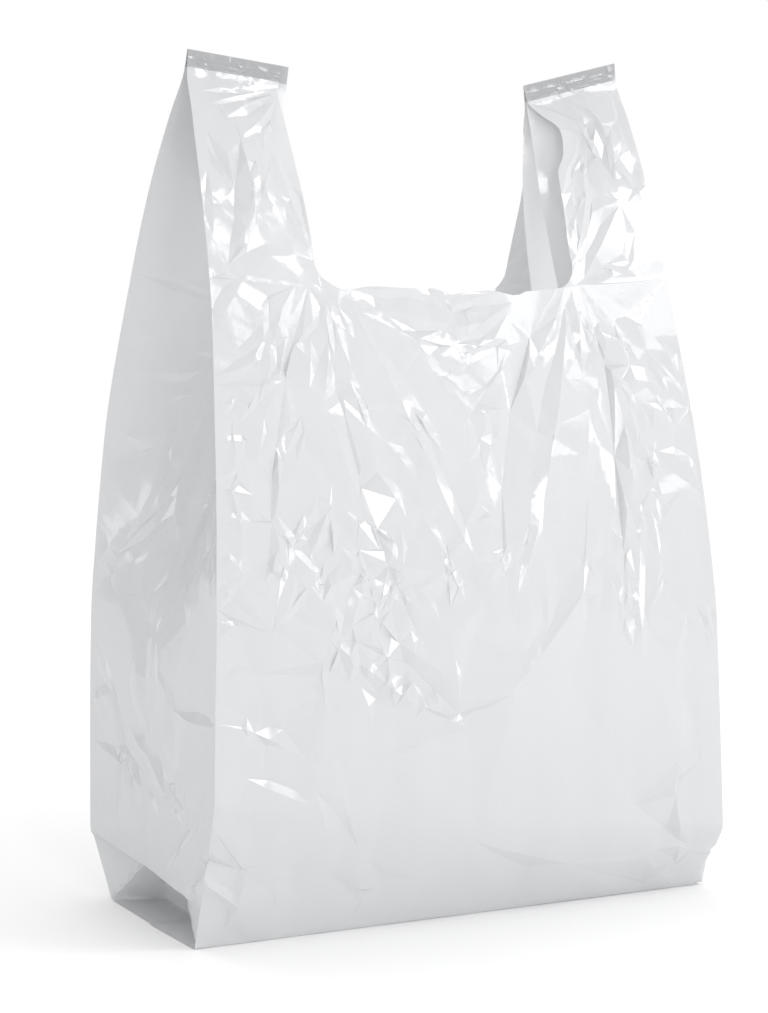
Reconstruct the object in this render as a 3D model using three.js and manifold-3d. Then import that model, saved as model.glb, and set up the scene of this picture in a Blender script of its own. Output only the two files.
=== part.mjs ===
// A vest-style carrier bag, standing open. It is one tube of thin film with a gusset down each side.
// One straight weld closes the bottom, a short weld closes the top of each handle, and a single
// U-shaped cut through all the layers makes the mouth and the two handles.
// Millimetres, +Z up, +X across the front panel, origin at the middle of the base.

import * as THREE from 'three';
import { ConvexGeometry } from 'three/addons/geometries/ConvexGeometry.js';
import { mergeVertices } from 'three/addons/utils/BufferGeometryUtils.js';
import Module from 'manifold-3d';

// ---- Film ----------------------------------------------------------------------------------------
const FILM = 0.6;                     // wall of this solid, far thicker than the real film
const PLY_COUNT = 4;                  // layers that meet in a handle weld
const GUSSET_HALF = 82.5;             // film between a side fold and the gusset's centre crease

// ---- Standing shape ------------------------------------------------------------------------------
const BASE_HALF_WIDTH = 152.5;        // half of the flat tube's width
const TOP_HALF_WIDTH = 128.6;
const BASE_HALF_DEPTH = 57.5;
const ELBOW_HEIGHT = 50;              // where the end walls fold in under themselves
const SHOULDER_HEIGHT = 150;          // above this the front and back lean together
const WELD_HEIGHT = 443;              // lower edge of the handle welds
const WELD_BEAD = 3;                  // height of the thick melted line in the weld
const TOP_HEIGHT = 452;
const TAPER_STEPS = 12;               // flats that follow the curve of the leaning panels
const GUSSET_CELLS = 4;               // cells from a side fold to the centre crease

// ---- Cut for the mouth and handles -----------------------------------------------------------------
const MOUTH_HEIGHT = 333;
const CUT_HALF_WIDTH = 76;
const CUT_CORNER_RADIUS = 16;

// ---- Folded ends of the base -----------------------------------------------------------------------
const POCKET_APEX_X = BASE_HALF_WIDTH - GUSSET_HALF;
const POCKET_LIP_DROP = 1.5;          // the gusset's fold hangs just below the elbows

const FILM_COLOUR = 0xe9eaec;

const wasm = await Module();
wasm.setup();

const { lerp, clamp } = THREE.MathUtils;

// ---- Cross-section at a height ---------------------------------------------------------------------

function halfWidthAt(z) {
  return lerp(BASE_HALF_WIDTH, TOP_HALF_WIDTH, z / TOP_HEIGHT);
}

function halfDepthAt(z) {
  if (z < ELBOW_HEIGHT) {
    return lerp(BASE_HALF_DEPTH, GUSSET_HALF, z / ELBOW_HEIGHT);
  }
  const rise = clamp((z - SHOULDER_HEIGHT) / (WELD_HEIGHT - SHOULDER_HEIGHT), 0, 1);
  const weldHalf = (PLY_COUNT / 2 + (z <= WELD_HEIGHT + WELD_BEAD ? 1 : 0)) * FILM;
  return Math.max(GUSSET_HALF * (1 - rise ** 2), weldHalf);
}

// How far the centre crease is drawn in. The film in each half gusset keeps its width, so the
// closer the front and back come together, the deeper the crease goes.
function tuckAt(z, halfDepth) {
  if (z < SHOULDER_HEIGHT || z >= WELD_HEIGHT) {
    return 0;
  }
  return Math.sqrt(Math.max(0, GUSSET_HALF ** 2 - halfDepth ** 2));
}

function outerSection(z) {
  const halfDepth = halfDepthAt(z);
  const foldX = halfWidthAt(z);
  return { foldX, creaseX: foldX - tuckAt(z, halfDepth), halfDepth };
}

// The same section, one film thickness further in, with the gusset's faces moved square to themselves.
function innerSection(z) {
  const { foldX, creaseX, halfDepth } = outerSection(z);
  const tuck = foldX - creaseX;
  const gussetRun = Math.hypot(tuck, halfDepth);
  return {
    foldX: foldX - FILM * (tuck + gussetRun) / halfDepth,
    creaseX: creaseX - FILM * gussetRun / halfDepth,
    halfDepth: halfDepth - FILM,
  };
}

// ---- Geometry --------------------------------------------------------------------------------------

// A closed body through one section per level. The box that it starts from is 2 by 2 across, so a
// point's Y runs from -1 at the front folds, through 0 at the centre creases, to 1 at the back.
function loft(sectionAt, levels) {
  const storeys = levels.length - 1;
  const geometry = new THREE.BoxGeometry(2, 2, storeys, 1, 2 * GUSSET_CELLS, storeys);
  const points = geometry.attributes.position;
  for (let i = 0; i < points.count; i += 1) {
    const z = levels[Math.round(points.getZ(i) + storeys / 2)];
    const share = points.getY(i);
    const { foldX, creaseX, halfDepth } = sectionAt(z);
    points.setXYZ(i, points.getX(i) * lerp(creaseX, foldX, Math.abs(share)), share * halfDepth, z);
  }
  return geometry;
}

// The outside space folded in at one end of the base: its opening is in the end wall, between the
// elbows and the base, and it runs in to a point at the end of the gusset's centre crease.
function endPocket(side, grow) {
  const floor = 2 * FILM - grow;
  const lip = ELBOW_HEIGHT - POCKET_LIP_DROP + grow;
  const openX = BASE_HALF_WIDTH + FILM;
  const apex = new THREE.Vector3(side * (POCKET_APEX_X - 2 * grow), 0, floor + grow);
  const opening = [-1, 1].flatMap((face) => [
    new THREE.Vector3(side * openX, face * (BASE_HALF_DEPTH - 2 * FILM + grow), floor),
    new THREE.Vector3(side * openX, face * (GUSSET_HALF - 2 * FILM + grow), lip),
  ]);
  return new ConvexGeometry([apex, ...opening]);
}

// The U that opens the mouth and leaves the handles, extruded right through the bag.
function mouthCut() {
  const top = TOP_HEIGHT + 10;
  const straight = CUT_HALF_WIDTH - CUT_CORNER_RADIUS;
  const centreHeight = MOUTH_HEIGHT + CUT_CORNER_RADIUS;
  const outline = new THREE.Shape();
  outline.moveTo(-CUT_HALF_WIDTH, top);
  outline.lineTo(-CUT_HALF_WIDTH, centreHeight);
  outline.absarc(-straight, centreHeight, CUT_CORNER_RADIUS, Math.PI, 1.5 * Math.PI, false);
  outline.lineTo(straight, MOUTH_HEIGHT);
  outline.absarc(straight, centreHeight, CUT_CORNER_RADIUS, 1.5 * Math.PI, 2 * Math.PI, false);
  outline.lineTo(CUT_HALF_WIDTH, top);
  outline.closePath();
  const depth = 3 * GUSSET_HALF;
  const geometry = new THREE.ExtrudeGeometry(outline, { depth, bevelEnabled: false, curveSegments: 6 });
  geometry.rotateX(Math.PI / 2);
  geometry.translate(0, depth / 2, 0);
  return geometry;
}

// ---- Solids ----------------------------------------------------------------------------------------

function toSolid(geometry) {
  geometry.deleteAttribute('normal');
  geometry.deleteAttribute('uv');
  const merged = mergeVertices(geometry, 1e-4);
  return new wasm.Manifold(new wasm.Mesh({
    numProp: 3,
    vertProperties: new Float32Array(merged.attributes.position.array),
    triVerts: new Uint32Array(merged.index.array),
  }));
}

function toGeometry(solid) {
  const mesh = solid.getMesh();
  const geometry = new THREE.BufferGeometry();
  geometry.setAttribute('position', new THREE.BufferAttribute(mesh.vertProperties, 3));
  geometry.setIndex(new THREE.BufferAttribute(mesh.triVerts, 1));
  return geometry;
}

function buildBag() {
  const taper = [];
  for (let step = 0; step <= TAPER_STEPS; step += 1) {
    // Equal steps of angle put the flats closer together where the panels curve in most.
    const share = Math.sin((step / TAPER_STEPS) * (Math.PI / 2));
    taper.push(lerp(SHOULDER_HEIGHT, WELD_HEIGHT, share));
  }
  const outside = [0, ELBOW_HEIGHT, ...taper, WELD_HEIGHT + WELD_BEAD, WELD_HEIGHT + WELD_BEAD + 1, TOP_HEIGHT];
  const inside = [FILM, ELBOW_HEIGHT, ...taper.filter((z) => halfDepthAt(z) > PLY_COUNT * FILM)];
  const sides = [-1, 1];
  const film = sides.reduce(
    (space, side) => space.subtract(toSolid(endPocket(side, FILM))),
    toSolid(loft(innerSection, inside)),
  );
  const bag = sides.reduce(
    (solid, side) => solid.subtract(toSolid(endPocket(side, 0))),
    toSolid(loft(outerSection, outside)).subtract(film),
  );
  return bag.subtract(toSolid(mouthCut()));
}

const filmMaterial = new THREE.MeshStandardMaterial({
  color: FILM_COLOUR,
  roughness: 0.32,
  metalness: 0,
});

const carrierBag = new THREE.Mesh(toGeometry(buildBag()), filmMaterial);
carrierBag.name = 'carrier_bag';

const model = new THREE.Group();
model.add(carrierBag);

export default model;
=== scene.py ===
# %% [markdown]
# # A carrier bag made of thin film
#
# The real bag is one tube of white polythene film. It has a gusset down each side, a straight weld
# across the bottom, a short weld at the top of each handle, and one U-shaped cut through all of its
# layers. So the model is one sheet as well. It is laid out flat in the film's own millimetres,
# creased with lines and flat facets, cut, and stood up to its folded shape.

# %% Start from the frame
import math

import bmesh
import bpy
import numpy as np
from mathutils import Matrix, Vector
from mathutils.geometry import delaunay_2d_cdt


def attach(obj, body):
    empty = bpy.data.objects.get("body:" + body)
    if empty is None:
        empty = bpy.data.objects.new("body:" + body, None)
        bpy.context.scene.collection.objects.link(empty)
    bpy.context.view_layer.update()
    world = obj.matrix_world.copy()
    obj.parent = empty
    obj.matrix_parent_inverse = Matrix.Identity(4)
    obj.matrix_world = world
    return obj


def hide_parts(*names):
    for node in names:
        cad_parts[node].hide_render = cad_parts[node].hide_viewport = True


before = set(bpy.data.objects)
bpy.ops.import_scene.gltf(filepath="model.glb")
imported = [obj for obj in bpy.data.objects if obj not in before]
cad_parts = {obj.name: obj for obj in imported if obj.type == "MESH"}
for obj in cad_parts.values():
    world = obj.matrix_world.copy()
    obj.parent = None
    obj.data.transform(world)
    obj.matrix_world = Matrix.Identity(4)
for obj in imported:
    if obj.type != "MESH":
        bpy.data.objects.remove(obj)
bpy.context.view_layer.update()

MM = 0.001
scene = bpy.context.scene

# %% [markdown]
# ## Camera
#
# A long lens from the front left, a little under the height of the handles, looking slightly down.
# The camera comes first, because every choice after it is judged through it. It is turned by its
# heading and its pitch, which are easier to read than three Euler angles.

# %% Camera
CAMERA_PLACE = Vector((-0.7041, -1.3094, 0.3567))
CAMERA_HEADING = math.radians(27.74)     # to the right of straight ahead, which is +Y
CAMERA_PITCH = math.radians(-5.55)
CAMERA_LENS = 98.34

camera_data = bpy.data.cameras.new("camera")
camera_data.lens = CAMERA_LENS
camera_data.sensor_width = 36.0
camera = bpy.data.objects.new("camera", camera_data)
camera.location = CAMERA_PLACE
camera.rotation_euler = (math.pi / 2 + CAMERA_PITCH, 0.0, -CAMERA_HEADING)
scene.collection.objects.link(camera)
scene.camera = camera
print("camera looks along", [round(v, 3) for v in camera.rotation_euler.to_matrix() @ Vector((0, 0, -1))])

# %% [markdown]
# ## Floor and light
#
# Glossy film shows its light more than its colour. A few soft boxes, bright and not too wide, give
# the film sharp white highlights wherever a facet turns towards one of them, and an even white
# surround keeps everything between them pale. The floor is one flat sheet of white paper that runs
# so far past the bag that its far edge hardly shows. A curved paper sweep, as in a studio, would hide
# that edge fully.

# %% Floor
FLOOR_SIZE = 60.0      # metres across


def white_paper():
    """A plain matte white for the floor."""
    material = bpy.data.materials.new("white_paper")
    material.use_nodes = True
    shader = material.node_tree.nodes["Principled BSDF"]
    shader.inputs["Base Color"].default_value = (0.97, 0.97, 0.97, 1.0)
    shader.inputs["Roughness"].default_value = 0.9
    shader.inputs["Specular IOR Level"].default_value = 0.1
    return material


def paper_floor():
    """One wide flat sheet of paper."""
    mesh = bpy.data.meshes.new("floor")
    bm = bmesh.new()
    bmesh.ops.create_grid(bm, x_segments=2, y_segments=2, size=FLOOR_SIZE / 2)
    bm.to_mesh(mesh)
    bm.free()
    floor = bpy.data.objects.new("floor", mesh)
    scene.collection.objects.link(floor)
    mesh.materials.append(white_paper())
    return floor


floor = paper_floor()
print("floor", FLOOR_SIZE, "m across,", len(floor.data.polygons), "faces")

# %% [markdown]
# Two soft boxes high at the front right give the film its sharp highlights. A tall strip in front and
# another on the right put long reflections into the upright folds, and a small one at the back left
# keeps the shaded gusset from going flat. A very soft sun, from above and behind, shines through the
# film and shades the floor in front of it.

# %% Lights


def soft_box(name, place, target, width, height, power):
    """A rectangular lamp at place, facing target."""
    lamp = bpy.data.lights.new(name, "AREA")
    lamp.shape = "RECTANGLE"
    lamp.size = width
    lamp.size_y = height
    lamp.energy = power
    lamp_object = bpy.data.objects.new(name, lamp)
    lamp_object.location = place
    facing = Vector(target) - Vector(place)
    lamp_object.rotation_euler = facing.to_track_quat("-Z", "Y").to_euler()
    scene.collection.objects.link(lamp_object)
    return lamp_object


BAG_MIDDLE = (0.0, 0.0, 0.23)
# Each box has its place, target, width and height in metres, and its power in watts.
soft_box("key", (1.05, -1.15, 1.45), BAG_MIDDLE, 0.6, 0.4, 4.3)
soft_box("low_key", (1.12, -1.2, 1.05), BAG_MIDDLE, 0.8, 0.28, 1.7)
soft_box("right_strip", (1.9, -0.95, 0.5), BAG_MIDDLE, 0.3, 1.2, 4.5)
soft_box("front_strip", (-0.4, -2.2, 0.6), BAG_MIDDLE, 0.3, 0.9, 4.6)
soft_box("gusset_strip", (-1.6, 1.0, 0.5), BAG_MIDDLE, 0.25, 0.6, 0.8)
overhead = bpy.data.lights.new("overhead", "SUN")
overhead.energy = 0.55
overhead.angle = math.radians(50)
overhead_object = bpy.data.objects.new("overhead", overhead)
overhead_object.rotation_euler = (math.radians(-32), 0.0, 0.0)       # from above and behind
scene.collection.objects.link(overhead_object)

# %% [markdown]
# The surround is what the film mirrors wherever no lamp is. A plain white one would leave the facets
# all alike, so it is a little darker away from the front right. The camera itself sees it pure white.

# %% Surround
BRIGHT_SIDE = (0.62, -0.70, 0.35)     # towards the front right, and a little up
DARKEST = 0.6
BRIGHTEST = 1.08


def surround():
    """White where the camera looks straight at it; as light, brighter from the front right."""
    world = bpy.data.worlds.new("studio")
    world.use_nodes = True
    nodes = world.node_tree.nodes
    links = world.node_tree.links
    background = nodes["Background"]
    background.inputs["Color"].default_value = (1.0, 1.0, 1.0, 1.0)
    direction = nodes.new("ShaderNodeTexCoord")
    toward = nodes.new("ShaderNodeVectorMath")
    toward.operation = "DOT_PRODUCT"
    toward.inputs[1].default_value = BRIGHT_SIDE
    ramp = nodes.new("ShaderNodeMapRange")
    ramp.inputs["From Min"].default_value = -1.0
    ramp.inputs["To Min"].default_value = DARKEST
    ramp.inputs["To Max"].default_value = BRIGHTEST
    seen = nodes.new("ShaderNodeLightPath")
    pick = nodes.new("ShaderNodeMix")
    pick.inputs["B"].default_value = 1.0
    links.new(direction.outputs["Generated"], toward.inputs[0])
    links.new(toward.outputs["Value"], ramp.inputs["Value"])
    links.new(seen.outputs["Is Camera Ray"], pick.inputs["Factor"])
    links.new(ramp.outputs["Result"], pick.inputs["A"])
    links.new(pick.outputs["Result"], background.inputs["Strength"])
    return world


scene.world = surround()
scene.view_settings.view_transform = "Standard"
print("surround from", DARKEST, "to", BRIGHTEST)

# %% [markdown]
# ## The flat film
#
# Everything on a bag is simplest in the film's own measures: how far round the tube, and how far up
# from the bottom weld. The sizes here are those of a bag as it lies flat in its box. Columns run up
# the film, and a column stands on each fold and on each edge of the handles, so that the standing
# shape turns exactly there.

# %% Film sizes, in millimetres
PANEL = 305.0          # the flat tube's width
GUSSET = 82.5          # film from a side fold to the gusset's centre crease
STRIP = 60.0           # width of a handle in the flat
FILM_LENGTH = 533.0    # from the bottom weld to the top edge
WELD_FIN = 9.0         # a handle's weld, with the loose edge above it
BASE_HALF = 57.5       # film from the bottom weld to the edge of the base
RIM_FILM = 404.0       # the bottom of the cut
CORNER = 13.0          # radius of the cut's corners
print("flat tube", PANEL + 2 * GUSSET, "mm round half of it,", FILM_LENGTH, "mm long")

# %% Columns round the tube
# Each stretch is (panel, its start and end as film from the panel's left edge, number of cells).
# The tube is opened along the right gusset's centre crease, and the two edges are joined again there.
STRETCHES = [
    ("right", GUSSET, 2 * GUSSET, 20),
    ("back", 0.0, STRIP, 14), ("back", STRIP, PANEL - STRIP, 24), ("back", PANEL - STRIP, PANEL, 14),
    ("left", 0.0, GUSSET, 34), ("left", GUSSET, 2 * GUSSET, 34),
    ("front", 0.0, STRIP, 20), ("front", STRIP, PANEL - STRIP, 40), ("front", PANEL - STRIP, PANEL, 20),
    ("right", 0.0, GUSSET, 20),
]
PANEL_WIDTH = {"front": PANEL, "right": 2 * GUSSET, "back": PANEL, "left": 2 * GUSSET}
PANEL_START = {"right": -GUSSET, "back": GUSSET, "left": GUSSET + PANEL, "front": 3 * GUSSET + PANEL}
ROUND = 2 * PANEL + 4 * GUSSET


def round_from(panel, film):
    """Film round the tube from the seam, for a place on one panel."""
    return PANEL_START[panel] + film + (ROUND if panel == "right" and film < GUSSET else 0.0)


panel_of, along_of = [], []
for panel, start, end, cells in STRETCHES:
    for step in range(cells):
        panel_of.append(panel)
        along_of.append(start + (end - start) * step / cells)
panel_of.append("right")
along_of.append(GUSSET)
film_round = np.array([round_from(p, f) for p, f in zip(panel_of, along_of)])
film_round[-1] = ROUND
print(len(along_of), "columns")

# %% [markdown]
# ## The standing shape
#
# The film keeps its width and length when it is folded, so the shape can be worked out column by
# column. Each column is drawn as a curve from the floor to the weld, measured along, and the rows
# are then stepped off along it. A few heights and sizes are enough, with a smooth curve through
# them. A loft between whole cross-sections is the usual way, but it would stretch the film.

# %% A smooth curve through a few points


def through(points, at):
    """A curve through (place, value) points that doesn't overshoot between them."""
    place, value = np.array(points, float).T
    step = np.diff(place)
    slope = np.diff(value) / step
    product = slope[1:] * slope[:-1]
    inner = np.where(product > 0, 2 * product / (slope[1:] + slope[:-1] + 1e-12), 0)
    tangent = np.concatenate([[slope[0]], inner, [slope[-1]]])
    at = np.clip(at, place[0], place[-1])
    cell = np.clip(np.searchsorted(place, at, side="right") - 1, 0, len(step) - 1)
    t = (at - place[cell]) / step[cell]
    return (value[cell] * (1 + 2 * t) * (1 - t) ** 2 + value[cell + 1] * t * t * (3 - 2 * t)
            + step[cell] * (tangent[cell] * t * (1 - t) ** 2 + tangent[cell + 1] * t * t * (t - 1)))


# %% Sizes by height, in millimetres
TOP = 452.5
WELD_START = TOP - WELD_FIN
HALF_WIDTH = [(0, 152.5), (60, 151), (150, 148), (250, 141.5), (330, 135.2), (400, 132.2), (TOP, 128.4)]
HALF_DEPTH = [(0, 82.6), (150, 82.6), (200, 78.8), (250, 72.5), (300, 61.5), (340, 49.5),
              (380, 34), (420, 14), (WELD_START, 1.2), (TOP, 0.4)]
SIDE_LEAN = [(0, -1), (100, -3), (200, -4.5), (280, -5.8), (340, -4.9), (TOP, -0.2)]
TUCK = [(0, 0), (130, 0), (165, 7), (200, 23), (250, 40), (300, 55), (340, 65.5), (400, 76.5), (TOP, 78.5)]
STRIP_WIDTH = {
    ("front", -1): [(0, 57.3), (200, 56.5), (300, 57), (345, 58.5), (400, 54), (437, 51), (TOP, 54)],
    ("front", 1): [(0, 57.3), (200, 56.5), (300, 57), (345, 58), (374, 56), (393, 54), (405, 47), (420, 44),
                   (433, 52), (444, 57), (TOP, 58)],
    ("back", -1): [(0, 57.3), (200, 56.5), (300, 55), (345, 52), (400, 50), (437, 51), (TOP, 54)],
    ("back", 1): [(0, 57.3), (200, 56), (300, 46), (336, 41), (374, 40), (401, 44), (424, 52),
                  (444, 57), (TOP, 58)],
}
FULL_DEPTH = 82.6                     # half of the depth at the elbows over the base
WELD_DROP = {-1: 8.0, 1: 14.0}        # how far the inner end of each handle weld hangs down
HANG_FROM = 375.0                     # the height from which that drop builds up


def fold_x(side, z):
    """Where a side fold stands across the bag. side is -1 for the left and 1 for the right."""
    return through(SIDE_LEAN, z) + side * through(HALF_WIDTH, z)


def half_depth(z, elbow, roundness):
    """Half of the depth. Below its elbow the film turns in towards the base."""
    rise = np.clip(z / elbow, 0, 1)
    turn = (1 - roundness) * rise + roundness * np.sin(rise * math.pi / 2)
    return np.minimum(through(HALF_DEPTH, z), BASE_HALF + (FULL_DEPTH - BASE_HALF) * turn)


def panel_x(panel, across, z):
    """Across the front or back: the handle strips have their own width and the middle takes the slack."""
    left = fold_x(-1, z)
    right = fold_x(1, z)
    left_strip = through(STRIP_WIDTH[panel, -1], z)
    right_strip = through(STRIP_WIDTH[panel, 1], z)
    if across < STRIP:
        return left + left_strip * across / STRIP
    if across > PANEL - STRIP:
        return right - right_strip * (PANEL - across) / STRIP
    middle = (across - STRIP) / (PANEL - 2 * STRIP)
    return (left + left_strip) * (1 - middle) + (right - right_strip) * middle


def hang(points, side):
    """Lets the inner end of a handle weld down, and the strips under it with it."""
    x, z = points[:, 0], points[:, 2]
    inward = np.clip(side * (fold_x(side, z) - x) / STRIP, 0, 1.2)
    near_weld = np.clip((z - HANG_FROM) / (WELD_START - HANG_FROM), 0, 1) ** 1.5
    points[:, 2] -= WELD_DROP[side] * inward * near_weld
    return points


# %% One column's curve
ELBOW = {"front": (77.0, 37.0), "back": (35.0, 45.0)}     # left and right elbow heights
ROUNDED = 0.9          # how round the elbow is at the middle of a panel; at its folds it is flat
BELLY = 3.5            # how far the front and the back swell out
BELLY_TOP = 330.0      # the height at which the swelling ends


def wall_curve(panel, film, z):
    """The points of a column at heights z, seen from outside with film measured from the left."""
    if panel in ("front", "back"):
        face = -1 if panel == "front" else 1
        share = film / PANEL
        across = film if panel == "front" else PANEL - film
        side_share = across / PANEL
        left_elbow, right_elbow = ELBOW[panel]
        elbow = left_elbow + (right_elbow - left_elbow) * side_share
        roundness = ROUNDED * np.sin(math.pi * share) ** 0.5
        belly = BELLY * math.sin(math.pi * share) * np.sin(math.pi * np.clip(z / BELLY_TOP, 0, 1))
        y = face * (half_depth(z, elbow, roundness) + belly)
        side = -1 if across < PANEL / 2 else 1
        return hang(np.stack([panel_x(panel, across, z), y, z], -1), side)
    side = -1 if panel == "left" else 1
    out = abs(film - GUSSET) / GUSSET
    toward_front = (film > GUSSET) == (panel == "left")
    face = -1 if toward_front else 1
    elbow = ELBOW["front" if toward_front else "back"][0 if side < 0 else 1]
    depth = half_depth(z, elbow, 0)
    fold = fold_x(side, z)
    crease = fold - side * through(TUCK, z)
    return hang(np.stack([crease + out * (fold - crease), face * out * depth, z], -1), side)


# %% [markdown]
# ## The folded ends
#
# At each end the gusset comes down to a lip and turns in under itself, over the corner of the base.
# That makes an open pocket, the way a wrapped parcel's end does. It is all flat facets, so it is
# drawn as a handful of triangles: each corner has its place in the film and its place in space, and
# every place inside a triangle is carried across with it. The right end is the left one mirrored.

# %% Corners of the pocket folds
# Each corner is (film from the centre crease, towards the front; share of the way up to the lip)
# and then its place in millimetres.
LIP = {"left": (34.0, 29.5, 22.0), "right": (34.0, 31.0, 26.0)}    # heights at the back, middle, front
LEFT_POCKET = {
    "seal_back": ((-82.5, 0.0), (-152.5, 0.0, 0.8)),
    "seal_front": ((82.5, 0.0), (-152.5, 0.0, 0.8)),
    "base_back": ((-82.5, 0.58), (-150.5, 60.0, 0.8)),
    "base_front": ((82.5, 0.71), (-153.0, -58.0, 0.8)),
    "lip_back": ((-82.5, 1.0), (-152.5, 81.6, 34.0)),
    "lip_middle": ((0.0, 1.0), (-151.5, 3.0, 29.5)),
    "lip_front": ((82.5, 1.0), (-152.5, -65.0, 22.0)),
    "weld_back": ((-57.0, 0.0), (-127.0, 0.2, 1.2)),
    "weld_front": ((57.0, 0.0), (-127.0, -0.2, 1.2)),
    "weld_middle": ((0.0, 0.0), (-78.0, 0.0, 1.6)),
    "flap_back": ((-58.0, 0.5), (-127.0, 42.0, 2.4)),
    "flap_front": ((58.0, 0.5), (-128.0, -26.0, 3.0)),
    "inner": ((-8.0, 0.66), (-138.0, 4.0, 46.0)),
}
POCKET_FACETS = [
    ("seal_back", "base_back", "flap_back"), ("seal_back", "flap_back", "weld_back"),
    ("weld_back", "flap_back", "inner"), ("weld_back", "inner", "weld_middle"),
    ("base_back", "lip_back", "inner"), ("base_back", "inner", "flap_back"),
    ("lip_back", "lip_middle", "inner"),
    ("seal_front", "base_front", "flap_front"), ("seal_front", "flap_front", "weld_front"),
    ("weld_front", "flap_front", "inner"), ("weld_front", "inner", "weld_middle"),
    ("base_front", "flap_front", "inner"), ("base_front", "inner", "lip_front"),
    ("lip_front", "inner", "lip_middle"),
]


def carried(points, corners, facets):
    """Places in space of flat points, each carried across by the facet that it lies in."""
    places = np.zeros((len(points), 3))
    nearest = np.full(len(points), -np.inf)
    for names in facets:
        flat = np.array([corners[name][0] for name in names])
        solid = np.array([corners[name][1] for name in names])
        edges = np.stack([flat[1] - flat[0], flat[2] - flat[0]], 1)
        second, third = np.linalg.solve(edges, (points - flat[0]).T)
        weights = np.stack([1 - second - third, second, third], 1)
        inside = weights.min(1)
        better = inside > nearest
        places[better] = (weights @ solid)[better]
        nearest[better] = inside[better]
    return places


# %% [markdown]
# ## A table that stands the film up
#
# The columns and a set of rows make a table from the flat film to its smooth standing shape. Any
# place on the film can be looked up in it. Each column has the same rows, spread between its own
# landmarks: the bottom weld, the edge of the base, the lip of the gussets and the top edge.

# %% Rows up the film
ROWS = [14, 20, 150]                   # rows from each landmark to the next
LIP_UNDER = {"front": 24, "back": 34}  # the unseen line's height at the middle of these panels
BASE_LIFT = 0.5                        # the base stands this far off the floor
row_level = np.concatenate([[0.0]] + [k + (np.arange(n) + 1) / n for k, n in enumerate(ROWS)])
COLUMNS = len(along_of)
HEIGHTS = np.concatenate([np.linspace(0, 100, 60), np.linspace(102, TOP, 200)])


def lip_height(panel, film):
    """Height of the lip, which carries on round the front and back as an unseen line."""
    left_back, left_middle, left_front = LIP["left"]
    right_back, right_middle, right_front = LIP["right"]
    ends = {
        "left": [left_back, left_middle, left_front],
        "front": [left_front, LIP_UNDER["front"], right_front],
        "right": [right_front, right_middle, right_back],
        "back": [right_back, LIP_UNDER["back"], left_back],
    }[panel]
    return np.interp(film / PANEL_WIDTH[panel], [0, 0.5, 1], ends)


# %% The standing sheet
sheet = np.zeros((COLUMNS, len(row_level), 3))
film_up = np.zeros((COLUMNS, len(row_level)))
for column, (panel, film) in enumerate(zip(panel_of, along_of)):
    curve = wall_curve(panel, film, HEIGHTS)
    run = np.concatenate([[0.0], np.cumsum(np.linalg.norm(np.diff(curve, axis=0), axis=1))])
    lip_run = np.interp(lip_height(panel, film), HEIGHTS, run)
    if panel in ("front", "back"):
        lip_film = BASE_HALF + lip_run * (FILM_LENGTH - BASE_HALF) / run[-1]
    else:
        lip_film = FILM_LENGTH - (run[-1] - lip_run)
    up = np.interp(row_level, range(4), [0.0, BASE_HALF, lip_film, FILM_LENGTH])
    film_up[column] = up
    if panel in ("front", "back"):
        place = np.interp(up, [BASE_HALF, FILM_LENGTH], [0, run[-1]])
    else:
        place = np.interp(up, [lip_film, FILM_LENGTH], [lip_run, run[-1]])
    for axis in range(3):
        sheet[column, :, axis] = np.interp(place, run, curve[:, axis])
    if panel in ("front", "back"):
        base = up < BASE_HALF
        sheet[column, base, 1] *= (up / BASE_HALF)[base]
        sheet[column, base, 2] = BASE_LIFT
    else:
        tucked = row_level < 2
        toward_front = film - GUSSET if panel == "left" else GUSSET - film
        flat = np.stack([np.full(tucked.sum(), toward_front), up[tucked] / lip_film], 1)
        pocket = carried(flat, LEFT_POCKET, POCKET_FACETS)
        if panel == "right":
            pocket[:, 0] *= -1
        sheet[column, tucked] = pocket
print("standing height", round(sheet[..., 2].max(), 1), "mm")

# %% [markdown]
# A crease is a small height out of the sheet, so each place also needs the way that the sheet faces
# there. It comes from the neighbours in the table, which is what a vertex normal is in a mesh.

# %% Facing of the sheet
LIP_LEVEL = ROWS[0] + ROWS[1]       # the row that stands on the lip


def lip_up(around):
    """Film from the bottom weld to the lip, at a place round the tube."""
    return np.interp(around, film_round, film_up[:, LIP_LEVEL])


def outward(points):
    """Unit normals of a grid of points, outwards, from its neighbours."""
    round_step = np.gradient(points, axis=0)
    round_step[0] = round_step[-1] = (points[1] - points[-2]) / 2
    up_step = np.gradient(points, axis=1)
    normal = np.cross(round_step, up_step)
    return normal / np.maximum(np.linalg.norm(normal, axis=2, keepdims=True), 1e-9)


facing = outward(sheet)


def stood_up(flat):
    """Looks flat places (round, up) up in the table: their places in space and their normals."""
    along = np.interp(flat[:, 0], film_round, np.arange(COLUMNS))
    low = np.minimum(along.astype(int), COLUMNS - 2)
    share = along - low
    found = np.zeros((2, len(flat), 3))
    for column in range(COLUMNS - 1):
        mine = np.nonzero(low == column)[0]
        for side, weight in ((column, 1 - share[mine]), (column + 1, share[mine])):
            for k, table in enumerate((sheet, facing)):
                for axis in range(3):
                    value = np.interp(flat[mine, 1], film_up[side], table[side, :, axis])
                    found[k, mine, axis] += weight * value
    return found


print("film below the front left lip", round(float(lip_up(PANEL_START["front"])), 1), "mm")


# %% [markdown]
# ## Creases
#
# Thin film doesn't ripple like cloth. It stays flat in facets and turns sharply between them. So the
# creases are drawn on the flat film as lines with a height, and a constrained Delaunay triangulation
# fills in the facets between them. A cloth simulation is the other way. It wasn't tried here: the
# expectation was that a film this thin and stiff needs a finer mesh than one can move in minutes.
#
# Most creases are pleats: a crest, with a hollow along its left side, that both run out to a point.
# The long ones hang from the two corners of the mouth, where the weight of the bag pulls on it.

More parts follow.
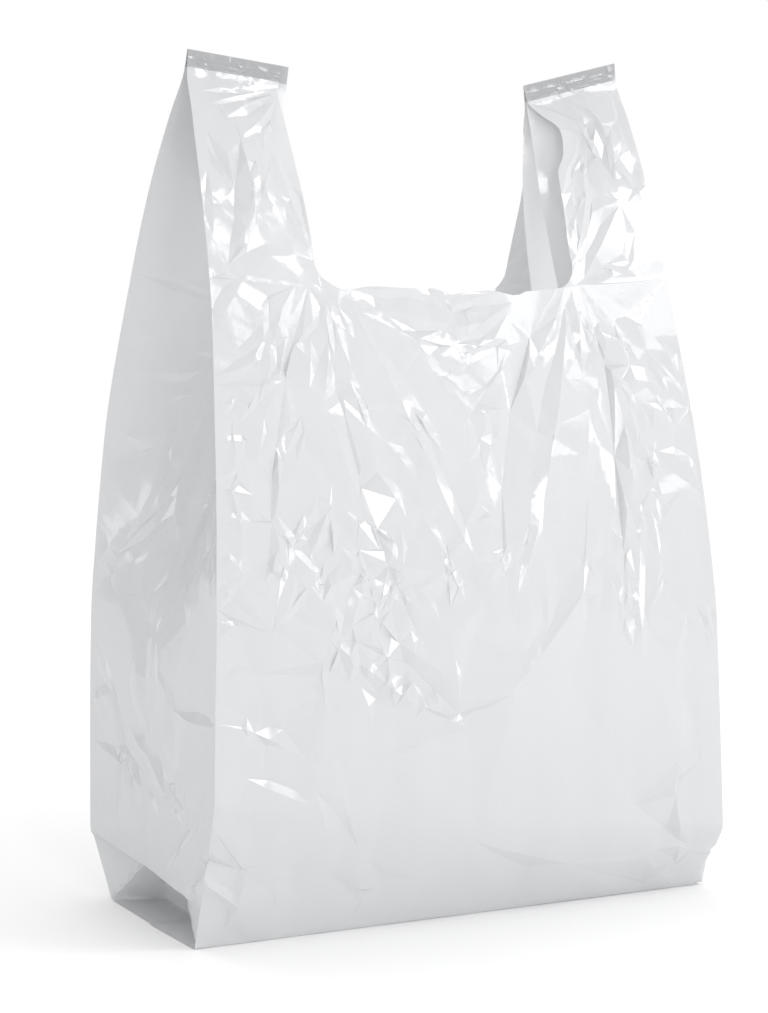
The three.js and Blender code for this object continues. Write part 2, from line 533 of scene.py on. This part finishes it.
# %% Drawing a crease
chance = np.random.default_rng(20)
CREST = 0.55           # the share of a pleat's height that stands out as its crest
HOLLOW = 0.45          # and the share that sinks in beside it
flat_points = []       # (film round the tube, film up, height out of the sheet)
flat_lines = []        # pairs of indices into flat_points


def crease(panel, points):
    """A line of (film, up, height) on a panel. A panel's line may run over onto the next panel."""
    first = len(flat_points)
    for film, up, height in points:
        place = np.clip(round_from(panel, film), 0.0, ROUND)
        flat_points.append((place, float(np.clip(up, 0.0, FILM_LENGTH)), height))
    flat_lines.extend((first + k, first + k + 1) for k in range(len(points) - 1))
    return first


def pleat(panel, crest, width, height, spacing=13.0):
    """A crest through the given (film, up) points, and a hollow along its left side."""
    crest = np.array(crest, float)
    run = np.concatenate([[0.0], np.cumsum(np.linalg.norm(np.diff(crest, axis=0), axis=1))])
    count = max(2, round(run[-1] / spacing))
    share = np.arange(count + 1) / count
    share[1:-1] += chance.uniform(-0.25, 0.25, count - 1) / count
    line = np.stack([np.interp(share * run[-1], run, crest[:, axis]) for axis in (0, 1)], 1)
    along = np.gradient(line, axis=0)
    along /= np.linalg.norm(along, axis=1, keepdims=True)
    left = np.stack([-along[:, 1], along[:, 0]], 1)
    swell = np.sin(math.pi * share) ** 0.7
    reach = width * swell * chance.uniform(0.65, 1.25, count + 1)
    hollow = line + left * reach[:, None] + along * chance.uniform(-0.3, 0.3, (count + 1, 1)) * width
    high = CREST * height * swell * chance.uniform(0.7, 1.2, count + 1)
    low = -HOLLOW * height * swell * chance.uniform(0.6, 1.3, count + 1)
    start = crease(panel, np.column_stack([line, high]))
    inner = crease(panel, np.column_stack([hollow[1:-1], low[1:-1]]))
    flat_lines.append((start, inner))
    flat_lines.append((inner + count - 2, start + count))


# %% [markdown]
# The creases that catch the eye are listed one by one: the long pleats from the mouth's corners, the
# swags under the mouth, short ticks down the left fold, and the folds of the handles and the gusset.
# A noise texture could wrinkle the film too, but creases like these follow how it is pulled.

# %% Pleats on the front
FRONT_PLEATS = [
    # crest as (film from the left fold, film up from the weld), width, height
    ([(80, 402), (96, 374), (111, 345), (124, 316), (134, 292), (143, 273), (152, 260)], 9, 2.8),
    ([(84, 404), (106, 387), (140, 363)], 4, 1.0),
    ([(61, 414), (66, 387), (70, 350)], 4, 1.6),
    ([(64, 338), (86, 336)], 10, 2.0),
    ([(68, 334), (75, 312), (83, 294)], 9, 2.3),
    ([(78, 291), (80, 271)], 4, 1.2),
    ([(82, 268), (96, 262), (108, 254)], 5, 1.5),
    ([(91, 278), (104, 262)], 4, 1.3),
    ([(117, 246), (128, 230)], 4, 1.2),
    ([(22, 289), (39, 275), (48, 261), (58, 258)], 6, 1.7),
    ([(48, 252), (60, 241), (72, 262)], 9, 2.2),
    ([(66, 220), (84, 208), (105, 192), (128, 180), (143, 172)], 15, 6.0),
    ([(77, 229), (88, 236), (104, 219)], 8, 2.6),
    ([(242, 402), (231, 384), (224, 366), (212, 334), (200, 303), (189, 271), (175, 242)], -9, 3.2),
    ([(241, 402), (240, 380), (236, 356)], -5, 1.7),
    ([(244, 404), (261, 405), (286, 414)], 6, 1.8),
    ([(282, 367), (289, 356), (297, 346)], 4, 1.3),
    ([(256, 347), (274, 352), (289, 343)], 8, 1.9),
    ([(266, 384), (278, 379), (291, 391)], 10, 2.0),
    ([(256, 270), (262, 284), (280, 290), (302, 287)], 15, 2.8),
    ([(272, 312), (298, 307)], 5, 1.3),
    ([(278, 336), (302, 332)], 6, 1.4),
    ([(258, 270), (251, 232), (254, 200)], 6, 1.3),
    ([(1, 378), (8, 388), (20, 408)], 9, 1.9),
    ([(35, 372), (39, 390), (48, 404)], 8, 1.9),
    ([(13, 368), (28, 371), (29, 384)], 9, 1.8),
    ([(1, 354), (21, 360), (44, 377)], 7, 2.0),
    ([(1, 350), (20, 349), (41, 353)], 4, 1.5),
    ([(1, 181), (17, 178), (34, 171), (53, 161)], 8, 3.6),
    ([(18, 153), (37, 144), (56, 137)], 7, 2.7),
    ([(155, 338), (176, 342)], 7, 1.6),
    ([(160, 318), (173, 329)], 6, 1.5),
    ([(156, 291), (168, 280)], 4, 1.3),
    ([(151, 262), (161, 257), (172, 268)], 7, 1.8),
    ([(140, 347), (167, 351), (180, 362), (185, 372)], 3, 0.8),
]
for crest, width, height in FRONT_PLEATS:
    pleat("front", crest, width, height)
print(len(FRONT_PLEATS), "pleats on the front")

# %% Swags under the mouth, where the film is slack between its corners
SWAGS = [
    ([(83, 399), (115, 391), (142, 385), (170, 388), (196, 399)], 12, 3.2),
    ([(90, 392), (118, 380), (137, 374), (158, 372), (178, 379), (190, 392)], 7, 2.4),
    ([(128, 371), (148, 364), (168, 369)], 7, 1.9),
    ([(112, 406), (151, 398), (190, 407)], 5, 1.4),
]
for crest, width, height in SWAGS:
    pleat("front", crest, width, height)
print(len(SWAGS), "swags")

# %% Short ticks down the front left fold
TICKS = [405, 322, 340, 297, 285, 264, 248, 232, 206]      # film up from the weld
for up in TICKS:
    reach = chance.uniform(9, 18)
    start = chance.uniform(1, 5)
    pleat("front", [(start, up), (start + reach, up - chance.uniform(-1, 3))], 3.5, 1.2, spacing=6)
print(len(TICKS), "ticks")

# %% Pleats in the handles
HANDLE_PLEATS = [
    ([(29, 486), (20, 448), (11, 412)], 9, -4.6),
    ([(39, 484), (29, 449), (22, 420)], 4, 1.6),
    ([(8, 486), (14, 467), (20, 456)], 7, -2.4),
    ([(58, 521), (34, 518), (8, 511)], 4, 1.3),
    ([(57, 519), (34, 512), (11, 503)], 4, 1.3),
    ([(57, 516), (40, 508), (21, 496)], 5, 1.5),
    ([(57, 512), (45, 498), (28, 483)], 5, 1.6),
    ([(57, 508), (50, 496), (39, 485)], 4, 1.4),
    ([(46, 486), (52, 451), (58, 424)], 6, 2.4),
    ([(22, 420), (35, 419), (50, 421)], 8, 1.6),
    ([(30, 440), (43, 468)], 8, 1.6),
    ([(4, 428), (6, 447), (5, 465)], 5, 1.3),
    ([(247, 522), (256, 509), (262, 497), (270, 478), (280, 456)], 9, 5.0),
    ([(266, 522), (275, 510), (280, 484), (284, 456)], 5, -2.2),
    ([(258, 496), (252, 475), (246, 456)], 5, 1.8),
    ([(264, 490), (260, 450), (250, 424), (243, 406)], 5, 2.2),
    ([(264, 446), (284, 452)], 7, 2.0),
    ([(251, 408), (268, 429), (283, 449)], 7, 2.2),
    ([(301, 519), (291, 494), (300, 477)], 4, 1.3),
    ([(289, 478), (291, 460), (300, 448)], 6, 1.6),
    ([(284, 449), (284, 423), (268, 416)], 7, 1.9),
]
for crest, width, height in HANDLE_PLEATS:
    pleat("front", crest, width, height)
print(len(HANDLE_PLEATS), "pleats in the handles")

# %% Pleats in the left gusset, measured from its back fold
GUSSET_PLEATS = [
    ([(58, 302), (20, 259)], 6, 1.6),
    ([(60, 292), (38, 261)], 5, 1.4),
    ([(73, 275), (81, 226)], 5, 1.6),
    ([(44, 352), (39, 295), (22, 262)], 5, 1.4),
    ([(62, 345), (57, 300), (73, 274)], 9, 1.6),
    ([(112, 194), (140, 188), (165, 182)], 6, 2.2),
    ([(95, 211), (110, 196), (84, 172)], 8, 1.8),
    ([(2, 172), (18, 180), (34, 190)], 6, 2.0),
    ([(10, 253), (55, 226), (84, 172)], 14, 2.6),
    ([(57, 175), (95, 155), (128, 136)], 9, 2.6),
    ([(8, 153), (50, 157), (98, 134)], 8, 2.4),
    ([(20, 206), (40, 172), (62, 130)], 6, 1.8),
    ([(7, 104), (34, 112), (60, 98)], 8, 1.6),
    ([(108, 108), (134, 124), (163, 140)], 7, 2.2),
    ([(120, 270), (146, 262), (160, 244)], 9, 1.6),
    ([(100, 300), (126, 282), (150, 250)], 7, 1.3),
]
for crest, width, height in GUSSET_PLEATS:
    pleat("left", crest, width, height)
print(len(GUSSET_PLEATS), "pleats in the left gusset")

# %% [markdown]
# Between the pleats the film stands in a few large facets, and two corners of the front are crushed.
# These are single lines with their own heights: a hollow is below the sheet, a ridge is above it.

# %% Large facets and crushed corners
LARGE_FACETS = [
    # (film, up, height) along each line
    [(63, 405, 0), (72, 350, -2), (86, 300, -4), (100, 258, -4.2), (114, 226, -2.6), (130, 202, 0)],
    [(236, 404, 0), (205, 380, -1.6), (184, 340, -3.4), (173, 300, -3.6), (168, 262, -1.8), (172, 225, 0)],
    [(247, 403, 0), (254, 360, -2.6), (250, 310, -3.6), (246, 260, -2.4), (240, 215, 0)],
    [(58, 412, 0), (42, 360, -2.4), (33, 305, -3.2), (30, 262, -1.8), (34, 238, 0)],
    [(100, 160, 0), (170, 190, 2), (215, 240, 2.2), (226, 290, 0)],
    [(0, 238, 0), (30, 226, 2.6), (59, 212, 4.4), (62, 186, 3), (62, 158, 0)],
    [(104, 62, 0), (125, 88, 2), (147, 112, 3.4), (205, 92, 2.4), (268, 64, 0)],
    [(245, 121, 0), (268, 104, -3.4), (287, 88, 0), (304, 84, 1)],
    [(245, 121, 0), (270, 128, 2.6), (290, 141, 1.2), (304, 150, 0)],
    [(287, 88, 0), (262, 66, -1.4), (250, 60, 0)],
    [(-18, 100, 0), (-6, 98, 3.4), (2, 96, 5.0), (20, 82, 2.6), (39, 88, 0.6)],
    [(-14, 118, 0), (0, 109, -4.4), (18, 103, -1.2), (39, 88, 0.6)],
    [(2, 126, 0.5), (20, 103, -1.2)],
]
for line in LARGE_FACETS:
    crease("front", line)
print(len(LARGE_FACETS), "lines of the large facets")

# %% The folds of the pockets, so that the facets follow them
POCKET_STEPS = 16


def pocket_lines(panel):
    """The edges of the pocket's facets, as level lines on the flat film."""
    sign = 1 if panel == "left" else -1
    edges = {tuple(sorted(pair)) for names in POCKET_FACETS for pair in zip(names, names[1:] + names[:1])}
    for a, b in sorted(edges):
        flat_a, flat_b = np.array(LEFT_POCKET[a][0]), np.array(LEFT_POCKET[b][0])
        steps = np.linspace(0, 1, POCKET_STEPS)[:, None]
        films, shares = (flat_a + (flat_b - flat_a) * steps).T
        films = GUSSET + sign * films
        if panel == "left" or films.min() > GUSSET or films.max() < GUSSET:
            crease(panel, [(film, share * float(lip_up(round_from(panel, film))), 0.0)
                           for film, share in zip(films, shares)])


pocket_lines("left")
pocket_lines("right")
print(len(flat_points), "crease points so far")

# %% [markdown]
# Handling leaves hundreds of small pleats between the large ones. They are scattered by patches, each
# with its own number and size, and each pleat points roughly at the nearest place that pulls on the
# film. On the front and the back these are the corners of the mouth. Seeded random numbers give the
# same bag every time.

# %% Scattered small pleats
# Each patch is (panel, film from and to, up from and to, how many, length, width, height).
PATCHES = [
    ("front", 64, 240, 300, 398, 24, 30, 6, 1.3), ("front", 4, 66, 235, 398, 26, 26, 5, 1.3),
    ("front", 238, 300, 200, 400, 42, 22, 5, 1.5), ("front", 62, 140, 195, 300, 26, 24, 5, 1.9),
    ("front", 74, 130, 184, 244, 12, 20, 7, 2.6), ("front", 30, 64, 250, 292, 6, 20, 6, 2.2),
    ("front", 140, 240, 170, 300, 10, 40, 7, 1.0), ("front", 8, 296, 66, 190, 12, 46, 12, 1.3),
    ("front", 3, 57, 410, 500, 12, 22, 5, 1.0), ("front", 248, 302, 410, 500, 14, 22, 5, 1.2),
    ("front", 4, 56, 525, 531, 8, 9, 2, 0.7), ("front", 249, 301, 525, 531, 8, 9, 2, 0.7),
    ("left", 6, 160, 110, 330, 20, 30, 8, 1.3), ("left", 4, 56, 340, 500, 10, 26, 5, 1.0),
    ("left", 108, 160, 340, 500, 10, 26, 5, 1.0), ("back", 8, 296, 70, 398, 70, 36, 8, 1.8),
    ("back", 3, 57, 410, 520, 14, 22, 5, 1.2), ("back", 248, 302, 410, 520, 14, 22, 5, 1.2),
    ("right", 4, 76, 110, 400, 14, 30, 8, 1.5), ("right", 90, 160, 110, 400, 14, 30, 8, 1.5),
]
PULLS = {"front": [(61, 416), (244, 406)], "back": [(61, 416), (244, 416)],
         "left": [(82, 395), (165, 120)], "right": [(0, 300), (165, 300)]}
STRAY = 0.35           # how far a pleat's direction strays from its pull, in radians
for panel, film0, film1, up0, up1, count, length, width, height in PATCHES:
    for _ in range(count):
        middle = np.array([chance.uniform(film0, film1), chance.uniform(up0, up1)])
        pull = min(PULLS[panel], key=lambda corner: np.hypot(*(middle - corner)))
        toward = math.atan2(*(np.array(pull) - middle)[::-1]) + chance.normal(0, STRAY)
        size = chance.uniform(0.5, 1.3)
        half = length * size / 2 * np.array([math.cos(toward), math.sin(toward)])
        ends = np.clip([middle + half, middle - half], (film0 - 3, up0 - 8), (film1 + 3, up1 + 8))
        pleat(panel, ends, width * size, height * size, spacing=9)
print(sum(patch[5] for patch in PATCHES), "scattered pleats")

# %% [markdown]
# The facets also have to end on the folds, on the edge of the cut and on the welds, so these are
# lines as well. The cut is straight up each handle, round at its corners and nearly level across.

# %% The cut
EDGE_STEPS = 90        # points up a fold
HANDLE_STEPS = 26      # points up an edge of a handle
RIM_STEPS = 60         # points along the cut on one panel
LEVEL_STEPS = 40       # points across a panel
WELD_STEPS = 12        # points along a rib of a weld


def cut_distance(panel, film):
    """How far inside the cut's straight edges a place is; negative on a handle."""
    return np.minimum(film, PANEL_WIDTH[panel] - film) - STRIP


FRONT_RIM = [(60, 2), (68, 2.5), (78, 0), (88, 1.2), (98, 2.4), (122, 1), (140, 0.4), (165, 2), (180, 2.4),
             (200, -1.2), (208, 0.8), (245, 0)]


def rim_film(panel, film):
    """Film from the bottom weld to the cut, which rises round its corners."""
    reach_in = np.clip(cut_distance(panel, film), 0.0, CORNER)
    corner = CORNER - np.sqrt(CORNER ** 2 - (CORNER - reach_in) ** 2)
    wave = through(FRONT_RIM, film) if panel == "front" else -3.5 * (panel == "back")
    return RIM_FILM + corner + wave


# %% Outlines: folds, the cut and the welds
for panel, width in PANEL_WIDTH.items():
    for film in (0.0, STRIP, width - STRIP, width):
        if film in (0.0, width):
            levels = np.linspace(0, FILM_LENGTH, EDGE_STEPS)
        else:
            levels = np.linspace(float(rim_film(panel, film)), FILM_LENGTH, HANDLE_STEPS)
        if panel == "right" or film != width:
            crease(panel, [(film, up, 0.0) for up in levels])
    inside = width - 2 * STRIP
    share = np.linspace(0, 1, RIM_STEPS)
    across = STRIP + inside * (share - 0.16 * np.sin(2 * math.pi * share) * (inside > 60))
    crease(panel, [(film, float(rim_film(panel, film)), 0.6 * math.sin(film / 9.0)) for film in across])
    for up in (0.0, BASE_HALF, FILM_LENGTH):
        films = np.linspace(0, width, LEVEL_STEPS)
        if panel == "right":
            crease(panel, [(film, up, 0.0) for film in films if film < GUSSET] + [(GUSSET - 1e-6, up, 0.0)])
            films = films[films > GUSSET]
            films[0] = GUSSET
        crease(panel, [(film, up, 0.0) for film in films])
# Ribs across the handle welds, as (film up, height)
EMBOSSING = [(524.0, 0.35), (525.1, -0.1), (526.2, 0.35), (527.3, -0.1), (528.4, 0.35), (529.5, 0.0)]
for panel in ("front", "back"):
    for start in (0.0, PANEL - STRIP):
        for up, height in EMBOSSING:
            films = np.linspace(start + 0.5, start + STRIP - 0.5, WELD_STEPS)
            crease(panel, [(film, up + chance.uniform(-0.12, 0.12), height) for film in films])
for edge in (0.0, ROUND):
    first = len(flat_points)
    flat_points.extend((edge, up, 0.0) for up in np.linspace(0, FILM_LENGTH, EDGE_STEPS))
    flat_lines.extend((first + k, first + k + 1) for k in range(EDGE_STEPS - 1))
print(len(flat_points), "crease points")

# %% [markdown]
# Where two lines cross, the triangulation adds a point, and its height is taken from both lines. Then
# any slope that is too steep is eased, a little at a time, or the film would fold over itself.

# %% Facets between the creases
SAME_PLACE = 0.25      # points nearer than this are one point, in millimetres
STEEPEST = 0.65        # the steepest slope that a facet may have
STEEP_PASSES = 60
EASED = 0.25           # the share of the excess that each end gives up in one pass


def facets():
    """Triangulates the flat film along the creases. Returns its points, heights and triangles."""
    inputs = np.array([p[:2] for p in flat_points])
    given = np.array([p[2] for p in flat_points])
    verts, edges, faces, from_verts, from_edges, _ = delaunay_2d_cdt(
        [Vector(p) for p in inputs], flat_lines, [], 0, SAME_PLACE)
    places = np.array([v[:] for v in verts])
    total, shares = np.zeros(len(verts)), np.zeros(len(verts))
    for vertex, sources in enumerate(from_verts):
        if sources:
            total[vertex], shares[vertex] = sum(given[k] for k in sources), len(sources)
    crossing = shares == 0
    for edge, sources in zip(edges, from_edges):
        for vertex in edge:
            if crossing[vertex]:
                for line in sources:
                    a, b = flat_lines[line]
                    gap = np.linalg.norm(inputs[b] - inputs[a])
                    share = np.linalg.norm(places[vertex] - inputs[a]) / gap
                    total[vertex] += given[a] * (1 - share) + given[b] * share
                    shares[vertex] += 1
    heights = total / np.maximum(shares, 1)
    edges = np.array(edges)
    gaps = np.linalg.norm(places[edges[:, 0]] - places[edges[:, 1]], axis=1)
    for _ in range(STEEP_PASSES):
        rise = heights[edges[:, 1]] - heights[edges[:, 0]]
        excess = np.sign(rise) * np.maximum(np.abs(rise) - STEEPEST * gaps, 0) * EASED
        np.add.at(heights, edges[:, 0], excess)
        np.add.at(heights, edges[:, 1], -excess)
    return places, heights, faces


facet_points, facet_heights, facet_faces = facets()
print(len(facet_faces), "facets")

# %% [markdown]
# ## From the facets to a mesh
#
# The facets are cut finer, so that the curve of the bag shows smoothly across each one, and only
# then stood up and pushed out by their heights. Where the mesh turns sharply an edge is marked
# sharp, so a crease keeps its line. The film's own measures stay on as a UV map, so that the finish
# follows the film. The triangulation has already worked out the corners and faces, so here they are
# only handed to a bmesh. Halving the edges by bmesh's own subdivide and triangulate, again and
# again, was tried and didn't come to an end.

# %% The film
FINE = {"front": 3.8, "left": 4.2, "back": 8.0, "right": 8.0}       # longest edges, in millimetres
SHARP = math.radians(13)
WELD_ROOM = 9.0        # hollows fade out where the two sides come this near the middle
LIP_FADE = 12.0        # and all heights fade out over this much film above a gusset's lip
LOWEST = 0.3           # nothing goes nearer to the floor than this
SEAM_GAP = 0.01        # seam corners nearer than this are joined


def panel_at(around):
    """The panel that a place round the tube lies on."""
    for panel in ("back", "left", "front"):
        if PANEL_START[panel] <= around <= PANEL_START[panel] + PANEL_WIDTH[panel]:
            return panel
    return "right"


def in_the_cut(around, up):
    """Whether a flat place is in the piece that is cut away."""
    panel = panel_at(around)
    film = around - PANEL_START[panel]
    if panel == "right" and film > ROUND / 2:
        film -= ROUND
    return cut_distance(panel, film) > 0 and up > rim_film(panel, film)


def cut_finer(points, triangles):
    """Halves every edge that is too long for its panel, again and again, until none is."""
    while True:
        halves = {}
        for triangle in triangles:
            for a, b in zip(triangle, triangle[1:] + triangle[:1]):
                edge = (min(a, b), max(a, b))
                if edge not in halves:
                    (x0, y0, _), (x1, y1, _) = points[a], points[b]
                    longest = FINE[panel_at((x0 + x1) / 2)]
                    halves[edge] = math.hypot(x1 - x0, y1 - y0) > longest
        if not any(halves.values()):
            return points, triangles
        middles = {}
        for (a, b), is_long in halves.items():
            if is_long:
                middles[a, b] = middles[b, a] = len(points)
                points.append([(u + v) / 2 for u, v in zip(points[a], points[b])])
        finer = []
        for a, b, c in triangles:
            split = sum(edge in middles for edge in ((a, b), (b, c), (c, a)))
            while split in (1, 2) and ((a, b) not in middles or (split == 2 and (c, a) in middles)):
                a, b, c = b, c, a
            ab, bc, ca = middles.get((a, b)), middles.get((b, c)), middles.get((c, a))
            finer.extend([[(a, b, c)], [(a, ab, c), (ab, b, c)], [(ab, b, bc), (a, ab, c), (ab, bc, c)],
                          [(a, ab, ca), (ab, b, bc), (ca, bc, c), (ab, bc, ca)]][split])
        triangles = finer


def film_mesh():
    """The whole bag as one mesh."""
    points = [[*place, height] for place, height in zip(facet_points, facet_heights)]
    kept = []
    for face in facet_faces:
        middle = facet_points[list(face)].mean(0)
        if not in_the_cut(*middle):
            kept.append(tuple(face))
    points, triangles = cut_finer(points, kept)
    bm = bmesh.new()
    corners = [bm.verts.new(point) for point in points]
    for triangle in triangles:
        bm.faces.new([corners[k] for k in triangle])
    bmesh.ops.delete(bm, geom=[v for v in bm.verts if not v.link_faces], context="VERTS")
    flat = np.array([v.co[:] for v in bm.verts])
    flat_uv = bm.loops.layers.uv.new("film")
    for face in bm.faces:
        face.smooth = True
        for loop in face.loops:
            loop[flat_uv].uv = loop.vert.co.xy * MM
    place, normal = stood_up(flat)
    room = np.where(flat[:, 2] < 0, np.clip(np.abs(place[:, 1]) / WELD_ROOM, 0, 1), 1)
    on_gusset = np.array([panel_at(around) in ("left", "right") for around in flat[:, 0]])
    above_lip = (flat[:, 1] - lip_up(flat[:, 0]) - 1) / LIP_FADE
    room = np.where(on_gusset, np.clip(above_lip, 0, room), room)
    place = place + normal * (flat[:, 2] * room)[:, None]
    place[:, 2] = np.maximum(place[:, 2], LOWEST)
    for vertex, co in zip(bm.verts, place):
        vertex.co = co * MM
    seam = [v for v in bm.verts if v.is_boundary]
    bmesh.ops.remove_doubles(bm, verts=seam, dist=SEAM_GAP * MM)
    for edge in bm.edges:
        edge.smooth = edge.calc_face_angle(0) < SHARP
    bmesh.ops.recalc_face_normals(bm, faces=bm.faces)
    mesh = bpy.data.meshes.new("film_bag")
    bm.to_mesh(mesh)
    bm.free()
    return mesh


film = bpy.data.objects.new("film_bag", film_mesh())
scene.collection.objects.link(film)
print(len(film.data.polygons), "triangles")

# %% [markdown]
# ## The film's finish
#
# Blown film is a little uneven: it is drawn lengthwise, so its thickness varies in faint streaks that
# run up the bag, and handling leaves ripples that are finer than any facet. Both follow the film, so
# they are looked up by its own measures. The welds were melted under a ribbed bar; the welds and the
# fin above them are painted a darker grey, as painted shade for the folded fin. An image of real film
# would be the other way, but it would need a scan of each bag.

# %% Shared effects
def effect_group(name, inputs, outputs):
    """A shader node group with named sockets. Returns it with its two end nodes."""
    group = bpy.data.node_groups.new(name, "ShaderNodeTree")
    for socket, kind, value in inputs:
        group.interface.new_socket(socket, in_out="INPUT", socket_type=kind).default_value = value
    for socket, kind in outputs:
        group.interface.new_socket(socket, in_out="OUTPUT", socket_type=kind)
    return group, group.nodes.new("NodeGroupInput"), group.nodes.new("NodeGroupOutput")


def drawn_film():
    """Streaks along the film and fine ripples over it, both from 0 to 1."""
    group, given, result = effect_group(
        "drawn_film",
        [("Film", "NodeSocketVector", (0, 0, 0)), ("Streaks per metre", "NodeSocketFloat", 60.0),
         ("Ripples per metre", "NodeSocketFloat", 160.0)],
        [("Streaks", "NodeSocketFloat"), ("Ripples", "NodeSocketFloat")])
    stretch = group.nodes.new("ShaderNodeVectorMath")
    stretch.operation = "MULTIPLY"
    stretch.inputs[1].default_value = (1.0, 0.12, 1.0)
    streaks = group.nodes.new("ShaderNodeTexNoise")
    streaks.inputs["Detail"].default_value = 3.0
    ripples = group.nodes.new("ShaderNodeTexNoise")
    ripples.inputs["Detail"].default_value = 4.0
    ripples.inputs["Distortion"].default_value = 0.6
    group.links.new(given.outputs["Film"], stretch.inputs[0])
    group.links.new(stretch.outputs["Vector"], streaks.inputs["Vector"])
    group.links.new(given.outputs["Streaks per metre"], streaks.inputs["Scale"])
    group.links.new(given.outputs["Film"], ripples.inputs["Vector"])
    group.links.new(given.outputs["Ripples per metre"], ripples.inputs["Scale"])
    group.links.new(streaks.outputs["Fac"], result.inputs["Streaks"])
    group.links.new(ripples.outputs["Fac"], result.inputs["Ripples"])
    return group


def weld_shade_mask():
    """1 on the handle welds and the fin above them, where the painted shade goes, 0 on the rest of the
    film.
    """
    group, given, result = effect_group(
        "weld_shade_mask",
        [("Film", "NodeSocketVector", (0, 0, 0)), ("Weld start", "NodeSocketFloat", 0.5238)],
        [("Weld", "NodeSocketFloat")])
    measures = group.nodes.new("ShaderNodeSeparateXYZ")
    past = group.nodes.new("ShaderNodeMath")
    past.operation = "GREATER_THAN"
    group.links.new(given.outputs["Film"], measures.inputs["Vector"])
    group.links.new(measures.outputs["Y"], past.inputs[0])
    group.links.new(given.outputs["Weld start"], past.inputs[1])
    group.links.new(past.outputs["Value"], result.inputs["Weld"])
    return group


# %% [markdown]
# A Principled shader gives the gloss, and its specular level is doubled because a thin film reflects
# at both of its faces. Mixed into it is a little Translucent, for the light that comes through from
# the other side. Transmission would be the other way, but it would make the film look like glass.

# %% Film material
GLOSSIEST = 0.07       # roughness of the glossiest streaks
DULLEST = 0.16         # and of the dullest
LIGHT_THROUGH = 0.28   # share of the film's shading that is light from its other side
FILM_WHITE = (0.755, 0.76, 0.77, 1.0)
FILM_STREAK = (0.70, 0.705, 0.717, 1.0)
# painted shade: the welds and the fin above them are painted this darker grey for the shade on the folded
# fin
WELD_PAINTED_SHADE = (0.46, 0.465, 0.475, 1.0)


def white_film():
    """Thin white polythene: glossy, pale, and letting some of the light behind it through."""
    material = bpy.data.materials.new("white_film")
    material.use_nodes = True
    nodes = material.node_tree.nodes
    links = material.node_tree.links
    measures = nodes.new("ShaderNodeUVMap")
    measures.uv_map = "film"
    drawn = nodes.new("ShaderNodeGroup")
    drawn.node_tree = drawn_film()
    weld = nodes.new("ShaderNodeGroup")
    weld.node_tree = weld_shade_mask()
    colour = nodes.new("ShaderNodeMix")
    colour.data_type = "RGBA"
    colour.inputs["A"].default_value = FILM_STREAK
    colour.inputs["B"].default_value = FILM_WHITE
    # mixes the painted shade into the welds and the fin above them
    weld_shaded = nodes.new("ShaderNodeMix")
    weld_shaded.data_type = "RGBA"
    weld_shaded.inputs["B"].default_value = WELD_PAINTED_SHADE
    gloss = nodes.new("ShaderNodeMapRange")
    gloss.inputs["To Min"].default_value = GLOSSIEST
    gloss.inputs["To Max"].default_value = DULLEST
    bump = nodes.new("ShaderNodeBump")
    bump.inputs["Strength"].default_value = 0.35
    bump.inputs["Distance"].default_value = 0.0004
    shader = nodes["Principled BSDF"]
    shader.inputs["IOR"].default_value = 1.54
    shader.inputs["Specular IOR Level"].default_value = 1.0       # a film reflects at both of its faces
    through_light = nodes.new("ShaderNodeBsdfTranslucent")
    through_light.inputs["Color"].default_value = (0.8, 0.805, 0.815, 1.0)
    mix = nodes.new("ShaderNodeMixShader")
    mix.inputs["Fac"].default_value = LIGHT_THROUGH
    links.new(measures.outputs["UV"], drawn.inputs["Film"])
    links.new(measures.outputs["UV"], weld.inputs["Film"])
    links.new(drawn.outputs["Streaks"], colour.inputs["Factor"])
    links.new(colour.outputs["Result"], weld_shaded.inputs["A"])
    links.new(weld.outputs["Weld"], weld_shaded.inputs["Factor"])
    links.new(weld_shaded.outputs["Result"], shader.inputs["Base Color"])
    links.new(drawn.outputs["Streaks"], gloss.inputs["Value"])
    links.new(gloss.outputs["Result"], shader.inputs["Roughness"])
    links.new(drawn.outputs["Ripples"], bump.inputs["Height"])
    links.new(bump.outputs["Normal"], shader.inputs["Normal"])
    links.new(shader.outputs["BSDF"], mix.inputs[1])
    links.new(through_light.outputs["BSDF"], mix.inputs[2])
    links.new(mix.outputs["Shader"], nodes["Material Output"].inputs["Surface"])
    return material


film.data.materials.append(white_film())
print("film roughness from", GLOSSIEST, "to", DULLEST, "and light through", LIGHT_THROUGH)

# %% [markdown]
# ## Hand over
#
# The sheet stands for the bag's one solid and rides on its one body. Its flat size is once round the
# tube by the tube's length, and its area is what the cut leaves of that, to within about 1%.

# %% Hand over
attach(film, "root")
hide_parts("carrier_bag")
